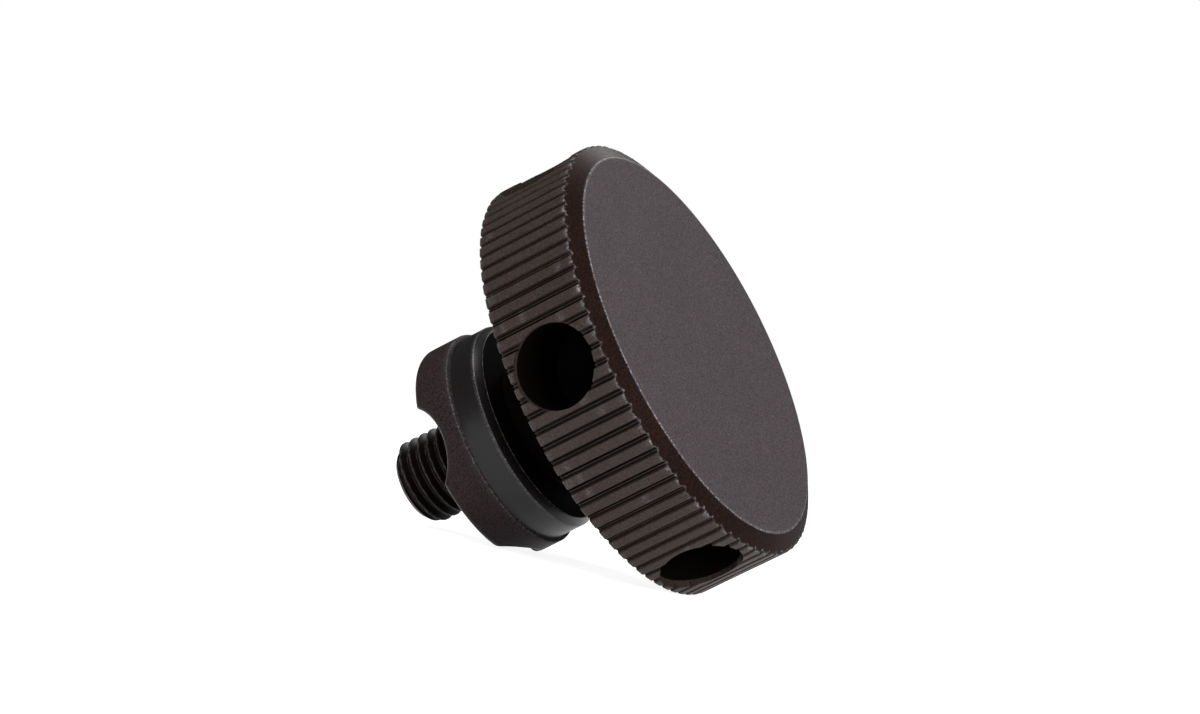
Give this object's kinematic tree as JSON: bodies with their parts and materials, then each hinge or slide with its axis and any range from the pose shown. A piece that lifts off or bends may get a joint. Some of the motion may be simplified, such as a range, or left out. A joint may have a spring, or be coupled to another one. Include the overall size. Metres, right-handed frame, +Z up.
{
  "type": "thumb screw",
  "caption": "Turned thumb screw lying on its side: a wide knurled head with radial tommy-bar holes, a neck, a stepped collar with a scalloped end, and a short fine-threaded stud.",
  "frame": {"origin": "middle of the object's footprint box, on the surface that it lies on", "axes": "+Z up. The screw's own axis lies in the XZ plane: its head points to +X and up, its stud to -X and down. -Y is the side that the picture is taken from."},
  "size_m": [0.0376, 0.04, 0.0371],
  "materials": {
    "thumb_screw": "black anodised, fine matt face, satin turned sides"
  },
  "bodies": {
    "root": {"thumb_screw": "thumb_screw"}
  },
  "joints": []
}
